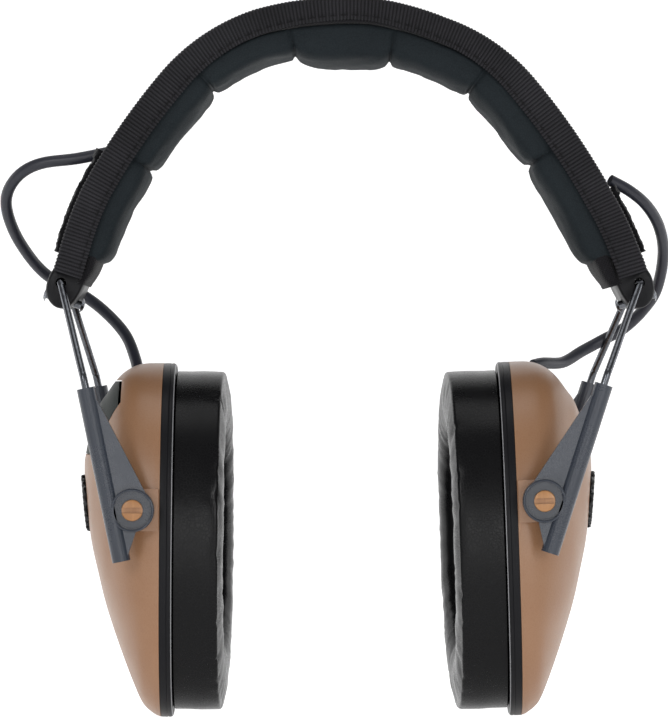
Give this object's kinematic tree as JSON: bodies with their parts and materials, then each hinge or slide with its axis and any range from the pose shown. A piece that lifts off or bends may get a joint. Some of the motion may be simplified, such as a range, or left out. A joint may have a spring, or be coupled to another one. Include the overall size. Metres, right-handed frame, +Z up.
{
  "type": "earmuff hearing protector",
  "caption": "Over-head electronic earmuff: padded band with fabric cover, folding wire bails, sliding arms, tilting ear cups, sealing cushions and link cables.",
  "frame": {"origin": "inner crown of the head pad, where the band rests on the top of the head", "axes": "+Z up, +X across the head toward one cup, +Y from the viewer toward the back of the object"},
  "size_m": [0.1957, 0.0902, 0.2072],
  "materials": {
    "shell_tan": "satin moulded plastic, tan brown",
    "screw_tan": "satin, golden tan",
    "arm_plastic": "satin, dark slate grey",
    "black_plastic": "semi-gloss black",
    "wire_steel": "dark polished steel wire",
    "strip_steel": "spring steel",
    "cover_fabric": "matt woven nylon, black",
    "binding_ribbon": "ribbed grosgrain ribbon, black",
    "hook_loop": "fuzzy hook-and-loop, black",
    "pad_leather": "blue-black leatherette, satin",
    "cushion_leather": "glossy black leatherette",
    "foam": "open-cell foam, matt black",
    "board": "green circuit board",
    "mesh_black": "fine black mesh",
    "soft_rubber": "matt black rubber",
    "cable_rubber": "satin blue-black jacket",
    "door_plastic": "satin, dark grey-green",
    "cell_metal": "printed metal cell"
  },
  "bodies": {
    "headband": {"spring_strip": "strip_steel", "band_cover": "cover_fabric", "front_binding": "binding_ribbon", "rear_binding": "binding_ribbon", "head_pad": "pad_leather", "left_cover_flap": "hook_loop", "right_cover_flap": "hook_loop", "left_band_end": "black_plastic", "left_band_rivet": "wire_steel", "right_band_end": "black_plastic", "right_band_rivet": "wire_steel", "left_link_cable": "cable_rubber", "right_link_cable": "cable_rubber"},
    "left_bail": {"left_wire_bail": "wire_steel"},
    "left_arms": {"left_front_arm": "arm_plastic", "left_rear_arm": "arm_plastic"},
    "left_cup": {"left_cup_shell": "shell_tan", "left_base_ring": "black_plastic", "left_ear_cushion": "cushion_leather", "left_ear_foam": "foam", "left_speaker": "black_plastic", "left_circuit_board": "board", "left_mic_grille": "mesh_black", "left_microphone": "black_plastic", "left_front_pivot_screw": "screw_tan", "left_rear_pivot_screw": "screw_tan", "left_cable_grommet": "soft_rubber", "battery_1": "cell_metal", "battery_2": "cell_metal"},
    "right_bail": {"right_wire_bail": "wire_steel"},
    "right_arms": {"right_front_arm": "arm_plastic", "right_rear_arm": "arm_plastic"},
    "right_cup": {"right_cup_shell": "shell_tan", "right_base_ring": "black_plastic", "right_ear_cushion": "cushion_leather", "right_ear_foam": "foam", "right_speaker": "black_plastic", "right_circuit_board": "board", "right_mic_grille": "mesh_black", "right_microphone": "black_plastic", "right_front_pivot_screw": "screw_tan", "right_rear_pivot_screw": "screw_tan", "right_cable_grommet": "soft_rubber", "audio_jack": "strip_steel"},
    "battery_door": {"battery_door": "door_plastic"},
    "volume_knob": {"volume_knob": "black_plastic"}
  },
  "joints": [
    {"name": "left_fold", "type": "hinge", "parent": "headband", "child": "left_bail", "pos_m": [-0.08286, 0, -0.06324], "axis": [0, 1, 0], "range_deg": [-30, 23.65], "deforming": ["left_link_cable"]},
    {"name": "left_height", "type": "slide", "parent": "left_bail", "child": "left_arms", "axis": [0.2019, 0, -0.9794], "range_m": [-0.0025, 0.025], "deforming": ["left_link_cable"]},
    {"name": "left_cup_tilt", "type": "hinge", "parent": "left_arms", "child": "left_cup", "pos_m": [-0.0616, 0, -0.12773], "axis": [0, 1, 0], "range_deg": [-10, 10], "deforming": ["left_link_cable"]},
    {"name": "right_fold", "type": "hinge", "parent": "headband", "child": "right_bail", "pos_m": [0.08286, 0, -0.06324], "axis": [0, 1, 0], "range_deg": [-29.8, 30], "deforming": ["right_link_cable"]},
    {"name": "right_height", "type": "slide", "parent": "right_bail", "child": "right_arms", "axis": [-0.3057, 0, -0.9521], "range_m": [-0.0025, 0.025], "deforming": ["right_link_cable"]},
    {"name": "right_cup_tilt", "type": "hinge", "parent": "right_arms", "child": "right_cup", "pos_m": [0.05481, 0, -0.12508], "axis": [0, 1, 0], "range_deg": [-10, 10], "deforming": ["right_link_cable"]},
    {"name": "battery_door_hinge", "type": "hinge", "parent": "left_cup", "child": "battery_door", "pos_m": [-0.06759, 0, -0.09237], "axis": [0, 1, 0], "range_deg": [0, 80]},
    {"name": "volume_turn", "type": "hinge", "parent": "right_cup", "child": "volume_knob", "pos_m": [0.05635, 0.0394, -0.14904], "axis": [0, -1, 0], "range_deg": [0, 270]}
  ]
}
